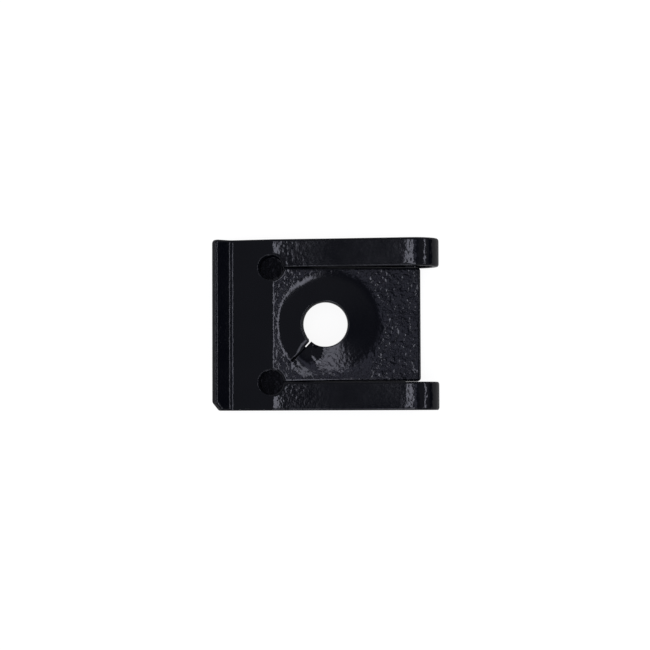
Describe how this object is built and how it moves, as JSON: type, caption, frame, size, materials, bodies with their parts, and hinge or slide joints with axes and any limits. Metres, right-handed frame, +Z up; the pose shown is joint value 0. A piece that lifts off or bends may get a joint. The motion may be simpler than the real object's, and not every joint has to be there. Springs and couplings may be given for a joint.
{
  "type": "u clip speed nut",
  "caption": "Black spring-steel U clip that pushes over a panel edge; a pressed cone in its tongue takes an M5 screw.",
  "frame": {"origin": "on the screw axis, in the underside of the lower leg", "axes": "+X from the lead-in lip to the U bend, +Z up out of the lower leg through the threaded tongue"},
  "size_m": [0.022, 0.0166, 0.0049],
  "materials": {
    "black_coat": "glossy black dip coat on spring steel, with a slight orange peel on its worked areas"
  },
  "bodies": {
    "root": {"spring_clip": "black_coat"}
  },
  "joints": []
}
